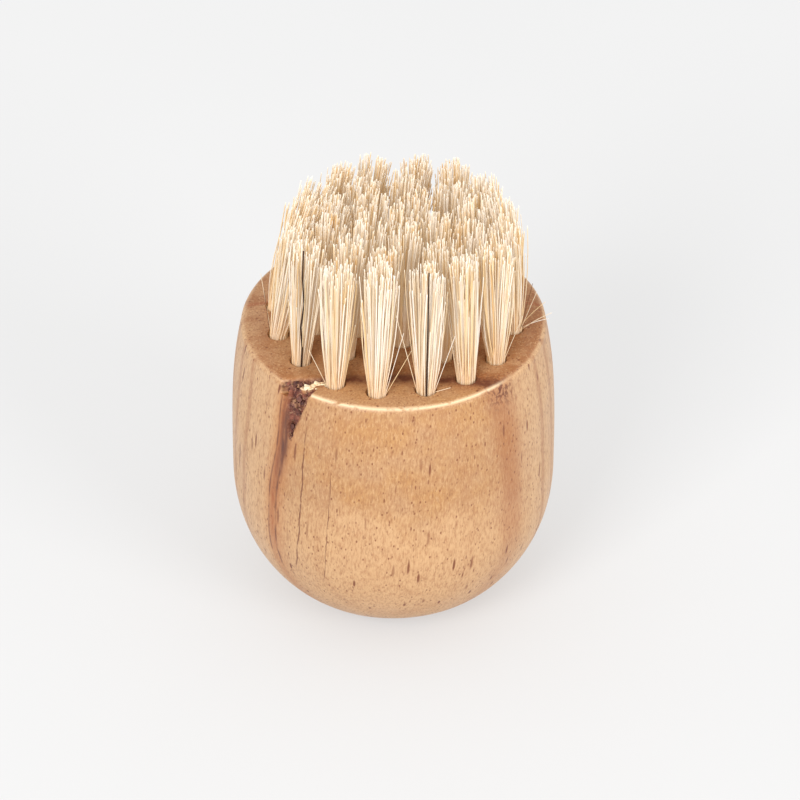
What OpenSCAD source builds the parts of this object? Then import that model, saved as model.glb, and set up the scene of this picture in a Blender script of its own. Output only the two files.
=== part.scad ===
// Palm-held beard brush: a turned wooden block drilled with blind holes, each hole
// holding one tuft of natural bristle that is folded over a flat steel anchor strip.
// Millimetres, +Z up. The origin is the centre of the flat foot, and the front is -Y.

/* [Turned block] */
// Largest diameter of the block
block_d = 52; // [51:0.5:60]
// Height of the block from its foot to its flat top
block_h = 51; // [44:0.5:60]
// Height of the widest level above the foot
belly_z = 22.6; // [18:0.2:28]
// Radius lost between the belly and the flat top
rim_inset = 1.6; // [0.6:0.1:1.8]
// Rounding radius of the rim
rim_round = 1.2; // [0.4:0.1:1.4]
// Fullness of the shoulder above the belly, where 2 is an ellipse
shoulder_power = 3.6; // [2:0.1:5]
// Diameter of the flat foot that the brush stands on
foot_d = 16; // [10:0.5:24]

/* [Drilled holes] */
// Diameter of each tuft hole
hole_d = 3.4; // [3:0.1:3.8]
// Straight depth of each tuft hole
hole_depth = 12; // [9:0.5:15]
// Included angle of the drill point at the bottom of each hole
drill_point = 118; // [90:1:140]
// Distance from the rim to the centres of the outer ring of holes
rim_margin = 5.2; // [4.8:0.1:5.5]

/* [Tufts] */
// Clearance between a tuft's root and its hole, on the diameter
root_play = 0.2; // [0.1:0.05:0.4]
// Diameter of a tuft at the trim plane, above the middle of the block
tip_d = 5.4; // [4.4:0.1:5.4]
// Height of the trimmed bristle above the middle of the block
trim_h = 20; // [16:0.5:26]
// Fall of the trim plane towards the back, in degrees
trim_slope = 9.5; // [0:0.5:12]

/* [Anchor strips] */
// Thickness of the flat anchor strip
anchor_t = 0.4; // [0.3:0.05:0.5]
// Height of the flat anchor strip
anchor_h = 2; // [1.5:0.1:2.4]
// Bite of the strip into the wood at each side of the hole
anchor_bite = 0.5; // [0.3:0.1:0.6]
// Height of the strip's lower edge above the straight bottom of the hole
anchor_z = 0.8; // [0.6:0.1:1.2]

/* [Hidden] */
$fn = 96;
belly_r = block_d / 2;
top_r = belly_r - rim_inset;
foot_r = foot_d / 2;
hole_r = hole_d / 2;
root_r = (hole_d - root_play) / 2;
drill_tip_h = hole_r / tan(drill_point / 2);
fold_h = 0.5;
eps = 0.01;
over = 6;
rim_steps = 6;
shoulder_steps = 16;
foot_steps = 28;

// Rings of holes, evenly stepped inwards: name, count, radius and the angle of the
// first hole. Angles run from the front, towards +X.
outer_ring_r = top_r - rim_margin;
RINGS = [
    ["outer", 16, outer_ring_r, -76],
    ["middle", 10, outer_ring_r * 2 / 3, -77],
    ["inner", 5, outer_ring_r / 3, 12],
    ["centre", 1, 0.3, -60],
];
// Hand drilling: how far each hole has strayed round its ring, in degrees.
TURN = [
    [-1, 1, 3, 1, 1, -1, -3, 0, 1, -1, 2, 0, 1, -2, 1, -1],
    [0, 3, -3, 6, 3, 1, -1, 2, 0, 1],
    [0, -4, 3, -2, 4],
    [0],
];
// Hand drilling: how far each hole has strayed outwards, in millimetres.
STRAY = [
    [-0.5, -0.8, 0.3, 0.5, 0.4, 0.4, 0.3, 0, 0.2, -0.2, 0, 0.3, 0.1, -0.2, 0.2, -0.3],
    [-0.4, -0.5, 0.1, 0.1, 0, 0.2, -0.2, 0.1, -0.2, 0],
    [0.1, 0, -0.1, 0.1, 0],
    [0],
];

function two_digits(n) = n < 10 ? str("0", n) : str(n);
function tuft_name(ring, i) =
    RINGS[ring][1] == 1 ? str("tuft_", RINGS[ring][0])
                        : str("tuft_", RINGS[ring][0], "_", two_digits(i + 1));
HOLES = [for (ring = [0 : len(RINGS) - 1]) for (i = [0 : RINGS[ring][1] - 1]) [ring, i]];

// Centre of a hole, on the flat top
function hole_xy(ring, i) =
    let (
        a = RINGS[ring][3] + i * 360 / RINGS[ring][1] + TURN[ring][i],
        r = RINGS[ring][2] + STRAY[ring][i]
    )
    [r * sin(a), -r * cos(a)];

// Half outline of the block: foot curve, shoulder curve, then the rounded rim
function foot_point(t) =
    [foot_r + (belly_r - foot_r) * sin(t), belly_z * (1 - cos(t))];
function shoulder_point(u) =
    [
        belly_r - rim_inset * pow(u, shoulder_power),
        belly_z + (block_h - rim_round - belly_z) * u,
    ];
function rim_point(t) =
    [top_r - rim_round + rim_round * cos(t), block_h - rim_round + rim_round * sin(t)];
OUTLINE = concat(
    [[0, 0]],
    [for (k = [0 : foot_steps]) foot_point(k * 90 / foot_steps)],
    [for (k = [1 : shoulder_steps]) shoulder_point(k / shoulder_steps)],
    [for (k = [1 : rim_steps]) rim_point(k * 90 / rim_steps)],
    [[0, block_h]]
);

// Space of one anchor strip, standing on edge across its hole
module anchor_space() {
    translate([-(hole_r + anchor_bite), -anchor_t / 2, block_h - hole_depth + anchor_z])
        cube([hole_d + 2 * anchor_bite, anchor_t, anchor_h]);
}

// One drilled hole with its drill point, and the two nicks that the strip bites
module drilled_hole() {
    translate([0, 0, block_h - hole_depth])
        cylinder(r = hole_r, h = hole_depth + over);
    translate([0, 0, block_h - hole_depth - drill_tip_h])
        cylinder(r1 = 0, r2 = hole_r, h = drill_tip_h + eps);
    anchor_space();
}

module handle() {
    color("burlywood")
        difference() {
            rotate_extrude() polygon(OUTLINE);
            for (h = HOLES)
                translate(hole_xy(h[0], h[1])) drilled_hole();
        }
}

module anchor_strips() {
    color("silver")
        for (h = HOLES)
            translate(hole_xy(h[0], h[1])) anchor_space();
}

// One tuft: the folded root in its hole, and the free bristle fanning out to the trim
module tuft(ring, i) {
    p = hole_xy(ring, i);
    root_z = block_h - hole_depth;
    free_h = trim_h + over;
    fan_r = root_r + (tip_d / 2 - root_r) * free_h / trim_h;
    color("cornsilk")
        translate(p)
            difference() {
                union() {
                    translate([0, 0, root_z])
                        cylinder(r1 = root_r - fold_h, r2 = root_r, h = fold_h);
                    translate([0, 0, root_z + fold_h])
                        cylinder(r = root_r, h = hole_depth - fold_h);
                    translate([0, 0, block_h])
                        cylinder(r1 = root_r, r2 = fan_r, h = free_h);
                }
                anchor_space();
                translate([0, 0, block_h + trim_h - p.y * tan(trim_slope)])
                    rotate([-trim_slope, 0, 0])
                        translate([-tip_d, -tip_d, 0])
                            cube([2 * tip_d, 2 * tip_d, 2 * over]);
            }
}

handle();
anchor_strips();
for (h = HOLES)
    tuft(h[0], h[1]);
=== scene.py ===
"""Palm-held beard brush: a turned wooden block with rings of natural bristle tufts.

The block is spun, drilled and given its bark pocket; each tuft is a bundle of separate
bristles folded under a steel anchor strip. Lengths are in metres, in the model's own frame:
+Z is up the turned axis, -Y is the front and +X is to the right.
"""

import logging
import math
import random
from collections.abc import Sequence
from dataclasses import dataclass
from enum import Enum
from functools import reduce
from typing import ClassVar

import bmesh
import bpy
from mathutils import Matrix, Vector, noise


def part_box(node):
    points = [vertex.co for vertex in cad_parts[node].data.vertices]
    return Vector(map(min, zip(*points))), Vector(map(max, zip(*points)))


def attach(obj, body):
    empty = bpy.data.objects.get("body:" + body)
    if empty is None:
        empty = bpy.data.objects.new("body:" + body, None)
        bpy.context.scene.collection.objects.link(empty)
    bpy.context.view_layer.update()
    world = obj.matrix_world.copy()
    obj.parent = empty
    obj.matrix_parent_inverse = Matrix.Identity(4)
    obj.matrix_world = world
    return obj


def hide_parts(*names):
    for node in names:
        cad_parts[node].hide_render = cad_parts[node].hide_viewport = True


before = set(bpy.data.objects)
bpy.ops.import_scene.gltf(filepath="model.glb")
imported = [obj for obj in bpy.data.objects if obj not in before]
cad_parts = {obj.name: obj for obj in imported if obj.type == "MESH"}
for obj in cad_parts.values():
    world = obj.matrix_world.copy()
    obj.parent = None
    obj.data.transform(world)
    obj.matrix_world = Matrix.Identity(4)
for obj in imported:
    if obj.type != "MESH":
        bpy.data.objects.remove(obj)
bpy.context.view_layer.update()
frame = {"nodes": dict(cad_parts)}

MM = 0.001
TAU = 2 * math.pi
GOLDEN_ANGLE = math.pi * (3 - math.sqrt(5))
WELD = 0.001 * MM
BODY = "root"
BARK_LAYER = "bark"
END_LAYER = "end_grain"
RIM_LAYER = "rim_wear_and_highlight"
TONE_LAYER = "tone"
ALONG_LAYER = "along"
WHITE = (1.0, 1.0, 1.0, 1.0)

log = logging.getLogger("beard_brush")

Colour = tuple[float, float, float]
Plan = tuple[float, float]
Socket = bpy.types.NodeSocket


class Slot(Enum):
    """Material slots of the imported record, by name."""

    WOOD = "wood"
    BRISTLE = "bristle"


class Node(Enum):
    """CAD nodes that this script names; the tufts are found by their prefix."""

    HANDLE = "handle"
    ANCHORS = "anchor_strips"


class Tone(Enum):
    """Places on the bristle colour ramp, from darkest to lightest."""

    BLACK = 0.0
    BROWN = 0.1
    TAN = 0.24
    STRAW = 0.45
    CREAM = 0.72
    IVORY = 1.0


# --------------------------------------------------------------------------- helpers


def smooth_step(low: float, high: float, value: float) -> float:
    """Ease from 0 to 1 as a value goes from low to high, or down to high."""
    t = min(max((value - low) / (high - low), 0.0), 1.0)
    return t * t * (3 - 2 * t)


def distance_to_segment(point: Plan, start: Plan, end: Plan) -> float:
    """Measure how far a plan point is from a straight segment.

    Args:
        point: The plan point, X and Y.
        start: One end of the segment.
        end: The other end.

    Returns:
        The shortest distance, in the points' unit.
    """
    p, a, b = Vector(point), Vector(start), Vector(end)
    run = b - a
    t = min(max((p - a).dot(run) / run.length_squared, 0.0), 1.0)
    return (p - (a + run * t)).length


def scatter(rng: random.Random, amount: float) -> Vector:
    """Draw a plan offset with a standard deviation in millimetres along each axis."""
    return Vector((rng.gauss(0, amount), rng.gauss(0, amount))) * MM


def spin_outline(
    bm: bmesh.types.BMesh, outline: Sequence[Plan], centre: Vector, steps: int
) -> None:
    """Spin a half outline a full turn about an upright axis.

    Args:
        bm: The mesh to add to.
        outline: Radius and height of each point of the outline.
        centre: The axis's place in plan.
        steps: How many steps make the turn.
    """
    verts = [bm.verts.new((centre.x + across, centre.y, height)) for across, height in outline]
    edges = [bm.edges.new(pair) for pair in zip(verts, verts[1:])]
    bmesh.ops.spin(
        bm,
        geom=verts + edges,
        cent=(centre.x, centre.y, 0.0),
        axis=(0.0, 0.0, 1.0),
        angle=TAU,
        steps=steps,
        use_merge=True,
    )


def close_shells(bm: bmesh.types.BMesh) -> None:
    """Merge the doubled points of spun shapes and turn their faces outwards."""
    bmesh.ops.remove_doubles(bm, verts=bm.verts, dist=WELD)
    bmesh.ops.recalc_face_normals(bm, faces=bm.faces)


def object_from_bmesh(bm: bmesh.types.BMesh, name: str) -> bpy.types.Object:
    """Turn a finished bmesh into a linked object at the origin and free the bmesh.

    Args:
        bm: The mesh being built.
        name: The piece's name.

    Returns:
        The new object.
    """
    mesh = bpy.data.meshes.new(name)
    bm.to_mesh(mesh)
    bm.free()
    obj = bpy.data.objects.new(name, mesh)
    bpy.context.scene.collection.objects.link(obj)
    return obj


def dress(mesh: bpy.types.Mesh, finish: bpy.types.Material, crease: float) -> None:
    """Give a mesh its finish and smooth shading.

    Args:
        mesh: The mesh to dress.
        finish: Its only material.
        crease: The angle in degrees above which an edge stays sharp.
    """
    mesh.materials.clear()
    mesh.materials.append(finish)
    mesh.shade_smooth()
    mesh.set_sharp_from_angle(angle=math.radians(crease))


# --------------------------------------------------------------------------- node graphs


class Graph:
    """A node tree being filled, with short calls for the nodes used most.

    A value given to a call is a number, a tuple or another node's output socket.
    """

    def __init__(self, tree: bpy.types.NodeTree) -> None:
        """Hold the material's or the group's tree that the calls fill."""
        self.tree = tree

    def feed(self, socket: Socket, value: object) -> None:
        """Link an output into a socket, or set the socket's own value.

        Args:
            socket: The input to feed.
            value: An output socket or a plain value.
        """
        if isinstance(value, Socket):
            self.tree.links.new(value, socket)
        else:
            socket.default_value = value

    def add(
        self, kind: str, inputs: dict[str | int, object] | None = None, **settings: object
    ) -> bpy.types.Node:
        """Add a node, set its properties and feed its inputs.

        Args:
            kind: The node's type name.
            inputs: What feeds each input, by the input's name or number.
            **settings: Property names and values.

        Returns:
            The new node.
        """
        node = self.tree.nodes.new(kind)
        for key, value in settings.items():
            setattr(node, key, value)
        for key, value in (inputs or {}).items():
            self.feed(node.inputs[key], value)
        return node

    def math(self, operation: str, *values: object) -> Socket:
        """Combine values with a Math node."""
        return self.add("ShaderNodeMath", dict(enumerate(values)), operation=operation).outputs[0]

    def product(self, *values: object) -> Socket:
        """Multiply two or more values."""
        return reduce(lambda total, value: self.math("MULTIPLY", total, value), values)

    def waver(self, value: object, cloud: Socket, amount: float) -> Socket:
        """Push a value up and down with a noise that is 0.5 on average."""
        return self.math("MULTIPLY_ADD", self.math("SUBTRACT", cloud, 0.5), amount, value)

    def remap(
        self, value: object, source: tuple[object, ...], target: tuple[object, ...] = (0.0, 1.0)
    ) -> Socket:
        """Ease a value from one range into another, clamped.

        Args:
            value: The value to map.
            source: The source range's ends.
            target: The target range's ends.

        Returns:
            The mapped socket.
        """
        names = ("Value", "From Min", "From Max", "To Min", "To Max")
        inputs = dict(zip(names, (value, *source, *target)))
        node = self.add("ShaderNodeMapRange", inputs, interpolation_type="SMOOTHSTEP", clamp=True)
        return node.outputs["Result"]

    def bell(self, value: object, centre: float, half: float, peak: float = 1.0) -> Socket:
        """Give a soft hump that peaks at its centre and is 0 from half its width away."""
        off = self.math("ABSOLUTE", self.math("SUBTRACT", value, centre))
        return self.remap(off, (0.0, half), (peak, 0.0))

    def blend(self, factor: object, first: object, second: object) -> Socket:
        """Mix two colours.

        Args:
            factor: 0 gives the first colour, 1 the second.
            first: A colour or a colour socket.
            second: A colour or a colour socket.

        Returns:
            The mixed colour socket.
        """
        first, second = (
            (*colour, 1.0) if isinstance(colour, tuple) else colour for colour in (first, second)
        )
        inputs = {0: factor, 6: first, 7: second}
        return self.add("ShaderNodeMix", inputs, data_type="RGBA", clamp_factor=True).outputs[2]

    def coats(self, colour: object, *layers: tuple[object, object]) -> Socket:
        """Lay coats of colour over one another, each through its own mask.

        Args:
            colour: The colour underneath.
            *layers: Mask and colour of each coat, from the lowest up.

        Returns:
            The colour on top.
        """
        for mask, coat in layers:
            colour = self.blend(mask, colour, coat)
        return colour

    def ramp(self, factor: object, stops: Sequence[tuple[float, Colour]]) -> Socket:
        """Add a colour ramp.

        Args:
            factor: The ramp's input.
            stops: Positions from 0 to 1, each with a colour.

        Returns:
            The colour socket.
        """
        node = self.add("ShaderNodeValToRGB", {0: factor})
        band = node.color_ramp.elements
        while len(band) < len(stops):
            band.new(1.0)
        for element, (place, colour) in zip(band, stops):
            element.position = place
            element.color = (*colour, 1.0)
        return node.outputs[0]

    def coordinates(self, unit: float) -> Socket:
        """Give Object coordinates times a number of units to the metre."""
        raw = self.add("ShaderNodeTexCoord").outputs["Object"]
        return self.add("ShaderNodeMapping", {"Vector": raw, "Scale": (unit,) * 3}).outputs[0]

    def stretch(self, vector: object, across: float, along: float) -> Socket:
        """Multiply a vector by one factor across the grain and another along it."""
        inputs = {0: vector, 1: (across, across, along)}
        return self.add("ShaderNodeVectorMath", inputs, operation="MULTIPLY").outputs[0]

    def tilt(self, vector: object, angle: float) -> Socket:
        """Turn a vector about the axis that runs from front to back."""
        inputs = {"Vector": vector, "Angle": angle}
        return self.add("ShaderNodeVectorRotate", inputs, rotation_type="Y_AXIS").outputs[0]

    def noise(self, vector: object, scale: object, detail: float, rough: float = 0.5) -> Socket:
        """Give a noise that is about 0.5 on average."""
        inputs = {"Vector": vector, "Scale": scale, "Detail": detail, "Roughness": rough}
        return self.add("ShaderNodeTexNoise", inputs).outputs["Fac"]

    def attribute(self, name: str) -> Socket:
        """Read one of the piece's own float attributes."""
        return self.add("ShaderNodeAttribute", attribute_name=name).outputs["Fac"]

    def group(self, tree: bpy.types.NodeTree, **values: object) -> Socket:
        """Place a node group, feed its named inputs and give its output."""
        return self.add("ShaderNodeGroup", values, node_tree=tree).outputs[0]

    def bump(self, height: object, strength: float, distance: float) -> Socket:
        """Turn a height into a normal, where a height of 1 is a distance in metres."""
        inputs = {"Strength": strength, "Distance": distance, "Height": height}
        return self.add("ShaderNodeBump", inputs).outputs["Normal"]


@dataclass(frozen=True)
class SharedEffects:
    """Node groups that more than one finish places, each built once."""

    drift: bpy.types.NodeTree
    fibres: bpy.types.NodeTree

    @classmethod
    def build(cls) -> "SharedEffects":
        """Build both groups, ready to place."""
        return cls(cls._drift(), cls._fibres())

    @staticmethod
    def _open(name: str, **defaults: float) -> tuple[Graph, bpy.types.Node, Socket]:
        """Make an empty group that turns a vector and some numbers into one value.

        Args:
            name: The group's name.
            **defaults: Name and default of each number that goes in.

        Returns:
            The graph, the group's input node and its output socket.
        """
        tree = bpy.data.node_groups.new(name, "ShaderNodeTree")
        tree.interface.new_socket("Vector", in_out="INPUT", socket_type="NodeSocketVector")
        for label, default in defaults.items():
            socket = tree.interface.new_socket(label, in_out="INPUT", socket_type="NodeSocketFloat")
            socket.default_value = default
        tree.interface.new_socket("Value", in_out="OUTPUT", socket_type="NodeSocketFloat")
        graph = Graph(tree)
        return graph, graph.add("NodeGroupInput"), graph.add("NodeGroupOutput").inputs["Value"]

    @classmethod
    def _drift(cls) -> bpy.types.NodeTree:
        """Build the slow cloudy variation of a surface, from Low to High.

        Returns:
            The group.
        """
        graph, source, sink = cls._open("slow drift", Scale=1.0, Low=0.0, High=1.0)
        vector, scale, low, high = source.outputs[:4]
        graph.feed(sink, graph.remap(graph.noise(vector, scale, 3.0), (0.3, 0.7), (low, high)))
        return graph.tree

    @classmethod
    def _fibres(cls) -> bpy.types.NodeTree:
        """Build fine lines that run along Z, for fibre, striation and brushing.

        Returns:
            The group.
        """
        graph, source, sink = cls._open("fine fibres", Across=1.0, Along=0.1)
        vector, across, along = source.outputs[:3]
        parts = graph.add("ShaderNodeSeparateXYZ", {0: vector}).outputs
        factors = enumerate(zip(parts, (across, across, along)))
        scaled = {axis: graph.math("MULTIPLY", *pair) for axis, pair in factors}
        joined = graph.add("ShaderNodeCombineXYZ", scaled).outputs[0]
        graph.feed(sink, graph.noise(joined, 1.0, 4.0, 0.65))
        return graph.tree


# --------------------------------------------------------------------------- finishes


@dataclass(frozen=True)
class Finish:
    """One procedural finish: each kind says what feeds its Principled shader."""

    title: ClassVar[str]
    unit: ClassVar[float] = 1 / MM
    effects: SharedEffects

    def inputs(self, graph: Graph, place: Socket) -> dict[str, object]:
        """Say what feeds the shader.

        Args:
            graph: The material's graph.
            place: Object coordinates in the finish's unit.

        Returns:
            A value or an output socket for each of the shader's inputs, by name.
        """
        raise NotImplementedError

    def build(self) -> bpy.types.Material:
        """Build the material, with its one shader.

        Returns:
            The material.
        """
        material = bpy.data.materials.new(self.title)
        material.use_nodes = True
        material.node_tree.nodes.clear()
        graph = Graph(material.node_tree)
        inputs = self.inputs(graph, graph.coordinates(self.unit))
        shader = graph.add("ShaderNodeBsdfPrincipled", inputs)
        graph.add("ShaderNodeOutputMaterial", {"Surface": shader.outputs["BSDF"]})
        return material


@dataclass(frozen=True)
class ResinLine:
    """One thin dark seam along the grain: its place from left to right and its ends."""

    side: float
    half_width: float
    bottom: float
    top: float
    depth: float


@dataclass(frozen=True)
class PoreSize:
    """One family of pores: cell size across and along the grain, dot size, share and depth."""

    across: float
    along: float
    dot: float
    share: float
    depth: float


@dataclass(frozen=True)
class GrainPoint:
    """A point of the wood as its nodes see it.

    Its place and its X, Y and Z are in millimetres, growth is its place across the growth
    rings, and end is how far the surface there faces along the grain.
    """

    place: Socket
    x: Socket
    y: Socket
    z: Socket
    growth: Socket
    end: Socket


@dataclass(frozen=True)
class WoodFinish(Finish):
    """Satin, oiled wood with a red fault in one growth ring, pores and a bark pocket.

    Places inside the finish are in millimetres in the block's own frame.
    """

    title: ClassVar[str] = "oiled_block_wood"
    top: float
    golden: Colour = (0.47, 0.241, 0.087)
    honey: Colour = (0.47, 0.264, 0.125)
    pale: Colour = (0.6, 0.364, 0.183)
    rosy: Colour = (0.615, 0.385, 0.2)
    late_wood: Colour = (0.365, 0.157, 0.065)
    red_heart: Colour = (0.31, 0.08, 0.016)
    dark_heart: Colour = (0.13, 0.032, 0.01)
    amber: Colour = (0.5, 0.19, 0.05)
    plum: Colour = (0.085, 0.026, 0.016)
    pore: Colour = (0.19, 0.055, 0.016)
    end_grain: Colour = (0.326, 0.127, 0.037)
    # Pale cream of the sanded rim, which also carries a painted highlight.
    sanded_and_highlight: Colour = (0.95, 0.74, 0.48)
    fleck: Colour = (0.27, 0.105, 0.035)
    bark_dark: Colour = (0.075, 0.017, 0.013)
    bark_brown: Colour = (0.24, 0.075, 0.045)
    bark_grey: Colour = (0.43, 0.24, 0.14)
    fault_ring: float = -16.1
    fault_edges: tuple[tuple[float, float, float], ...] = ((0.85, 0.24, 0.9), (-0.55, 0.3, 0.95))
    top_ring: float = 6.6
    ring_curve: float = 0.0055
    ring_lean: float = 0.03
    ring_scale: float = 0.062
    knot_height: float = 41.0
    knot_push: float = 1.2
    grain_lean: float = 0.064
    seam_pivot: float = 31.0
    seam_taper: float = 3.0
    lines: tuple[ResinLine, ...] = (
        ResinLine(-14.65, 0.17, 15.0, 46.0, 0.95),
        ResinLine(-10.2, 0.12, 14.0, 39.0, 0.9),
    )
    pores: tuple[PoreSize, ...] = (
        PoreSize(1.35, 0.75, 0.25, 0.0, 0.85),
        PoreSize(0.85, 0.24, 0.15, 0.1, 0.9),
        PoreSize(0.58, 0.075, 0.17, 0.0, 1.25),
    )

    def inputs(self, graph: Graph, place: Socket) -> dict[str, object]:
        """Colour the wood, and set its gloss and its relief.

        Args:
            graph: The material's graph.
            place: Position in millimetres.

        Returns:
            What feeds each of the shader's inputs.
        """
        at = self._grain_point(graph, place)
        grain = graph.tilt(place, -self.grain_lean)
        fibre = graph.group(self.effects.fibres, Vector=grain, Across=2.9, Along=0.95)
        stipple = graph.noise(graph.stretch(grain, 1.0, 0.24), 3.6, 3.0, 0.6)
        pores = self._pores(graph, grain)
        bark = graph.attribute(BARK_LAYER)
        # Pale band on the rim: partly sanded wood and partly a painted highlight where the rounding
        # catches the front lights.
        wear_and_highlight = graph.remap(graph.noise(place, 0.6, 4.0), (0.32, 0.5))
        wear_and_highlight = graph.product(graph.attribute(RIM_LAYER), wear_and_highlight, 0.82)
        colour = graph.coats(
            self._end_grain(graph, at, self._ground(graph, at)),
            (graph.remap(fibre, (0.48, 0.68), (0.0, 0.55)), self.late_wood),
            (graph.remap(fibre, (0.5, 0.32), (0.0, 0.6)), self.pale),
            (graph.remap(stipple, (0.45, 0.72), (0.0, 0.52)), self.fleck),
        )
        colour = graph.coats(
            self._lines(graph, at, self._fault(graph, at, colour)),
            (pores, self.pore),
            (wear_and_highlight, self.sanded_and_highlight),
            (bark, self._bark(graph, place)),
        )
        polish = graph.group(self.effects.drift, Vector=place, Scale=0.12, Low=0.42, High=0.56)
        polish = graph.math("MULTIPLY_ADD", bark, 0.35, polish)
        relief = graph.math("SUBTRACT", graph.math("MULTIPLY", fibre, 0.7), pores)
        crumbs = graph.product(graph.noise(place, 2.6, 5.0, 0.7), bark)
        relief = graph.math("MULTIPLY_ADD", crumbs, 6.0, relief)
        return {
            "Base Color": colour,
            "Roughness": graph.math("MULTIPLY_ADD", at.end, 0.1, polish),
            "Normal": graph.bump(relief, 0.5, 0.06 * MM),
            "Coat Weight": 0.1,
            "Coat Roughness": 0.3,
        }

    def _grain_point(self, graph: Graph, place: Socket) -> GrainPoint:
        """Find the place across the growth rings, which curve and lean a little.

        Args:
            graph: The material's graph.
            place: Position in millimetres.

        Returns:
            The point with its parts.
        """
        x, y, z = graph.add("ShaderNodeSeparateXYZ", {0: place}).outputs
        curve = graph.product(x, x, self.ring_curve)
        lean = graph.math("MULTIPLY_ADD", z, self.ring_lean, -self.ring_lean * self.top)
        left = graph.remap(x, (-7.0, -13.0))
        knot = graph.product(graph.bell(z, self.knot_height, 13.0), left, self.knot_push)
        growth = y
        for part in (curve, lean, knot):
            growth = graph.math("ADD", growth, part)
        growth = graph.waver(growth, graph.noise(graph.stretch(place, 1.0, 0.6), 0.08, 2.0), 0.7)
        fine = graph.noise(graph.stretch(place, 1.0, 0.4), 0.8, 3.0, 0.6)
        growth = graph.waver(growth, fine, 0.22)
        return GrainPoint(place, x, y, z, growth, graph.attribute(END_LAYER))

    def _ground(self, graph: Graph, at: GrainPoint) -> Socket:
        """Colour the clear wood: golden in front of the fault, rosy behind, paler below.

        Args:
            graph: The material's graph.
            at: The point of the wood.

        Returns:
            The colour socket.
        """
        cloud = graph.group(self.effects.drift, Vector=at.place, Scale=0.16, Low=0.0, High=1.0)
        patch = graph.group(self.effects.drift, Vector=at.place, Scale=0.45, Low=0.0, High=0.16)
        height = graph.waver(at.z, graph.noise(at.place, 0.11, 3.0), 26.0)
        across = graph.add("ShaderNodeCombineXYZ", {0: at.growth}).outputs[0]
        bands = graph.add(
            "ShaderNodeTexWave",
            {
                "Vector": across,
                "Scale": self.ring_scale,
                "Distortion": 4.0,
                "Detail": 2.0,
                "Detail Scale": 0.9,
            },
            wave_type="BANDS",
            bands_direction="X",
        )
        ring = graph.product(
            graph.remap(bands.outputs["Fac"], (0.72, 1.0)),
            graph.remap(at.growth, (-13.0, -6.0), (0.16, 0.62)),
        )
        return graph.coats(
            self.golden,
            (cloud, self.honey),
            (graph.remap(height, (35.0, 25.0), (0.0, 0.85)), self.pale),
            (graph.remap(at.growth, (-17.5, -12.5), (0.0, 0.9)), self.rosy),
            (patch, self.late_wood),
            (ring, self.late_wood),
        )

    def _end_grain(self, graph: Graph, at: GrainPoint, colour: Socket) -> Socket:
        """Darken the sawn end, where the oil soaks in, with its own blotches and ring; the darkening
        grows towards the right, which is painted shade from the bristles.

        Args:
            graph: The material's graph.
            at: The point of the wood.
            colour: The colour so far.

        Returns:
            The colour socket.
        """
        blotch = graph.group(self.effects.drift, Vector=at.place, Scale=0.26, Low=0.36, High=1.0)
        behind = graph.remap(at.growth, (-17.0, -14.0))
        # Painted shade: the top is darkened more towards the right, where the bristles shade it.
        right = graph.remap(at.x, (4.0, 18.0), (1.0, 1.5))
        dots = graph.remap(graph.noise(at.place, 2.4, 4.0, 0.7), (0.52, 0.7), (0.0, 0.5))
        light = graph.remap(graph.noise(at.place, 0.8, 4.0, 0.6), (0.52, 0.68), (0.0, 0.4))
        ring = graph.bell(at.growth, self.top_ring, 0.8, 0.85)
        return graph.coats(
            colour,
            (graph.product(blotch, behind, right, at.end), self.end_grain),
            (graph.product(dots, at.end, graph.math("MULTIPLY_ADD", behind, 0.5, 0.5)), self.pore),
            (graph.product(light, at.end), self.honey),
            (graph.product(ring, at.end), self.red_heart),
        )

    def _fault(self, graph: Graph, at: GrainPoint, colour: Socket) -> Socket:
        """Stain the faulty ring: a dark band on top, a streak at the left, a blush at the right.

        Args:
            graph: The material's graph.
            at: The point of the wood.
            colour: The colour so far.

        Returns:
            The colour socket.
        """
        ring, z = self.fault_ring, at.z
        left = graph.remap(at.x, (-9.0, -14.0))
        right = graph.remap(at.x, (6.0, 14.0))
        low_fade = graph.remap(z, (10.0, 30.0), (0.45, 1.0))
        blush = graph.product(
            graph.bell(at.growth, ring - 0.3, 4.2),
            graph.math("MULTIPLY_ADD", right, 0.34, 0.1),
            low_fade,
        )
        warm = graph.product(graph.bell(at.growth, ring, 3.0, 0.45), left, low_fade)
        torn = graph.noise(graph.stretch(at.place, 1.0, 0.09), 1.9, 3.0, 0.65)
        torn = graph.remap(torn, (0.32, 0.6), (0.5, 1.0))
        streak = graph.product(
            graph.bell(at.growth, ring, 1.6), left, torn, graph.remap(z, (12.0, 37.0), (0.38, 1.0))
        )
        deep = graph.product(
            graph.bell(at.growth, ring - 0.35, 1.25), left, torn, graph.bell(z, 41.5, 13.5)
        )
        broken = graph.remap(graph.noise(graph.stretch(at.place, 1.0, 0.3), 0.9, 3.0), (0.3, 0.6))
        edges = [
            graph.product(
                graph.bell(at.growth, ring + offset, half, depth),
                left,
                broken,
                graph.remap(z, (10.0, 18.0)),
            )
            for offset, half, depth in self.fault_edges
        ]
        burst = graph.product(
            graph.bell(at.growth, ring, 3.4, 0.95),
            right,
            graph.remap(graph.noise(graph.stretch(at.place, 1.0, 0.6), 2.0, 3.0, 0.65), (0.47, 0.57)),
            graph.remap(z, (self.top - 5.5, self.top - 1.5)),
        )
        ragged = graph.math("MULTIPLY_ADD", broken, 0.4, 0.6)
        ends = graph.product(graph.bell(at.growth, ring, 1.9, 1.2), at.end, ragged)
        return graph.coats(
            colour,
            (blush, self.red_heart),
            (warm, self.amber),
            (streak, self.red_heart),
            (deep, self.plum),
            *((mask, self.dark_heart) for mask in (*edges, burst, ends)),
        )

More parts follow.
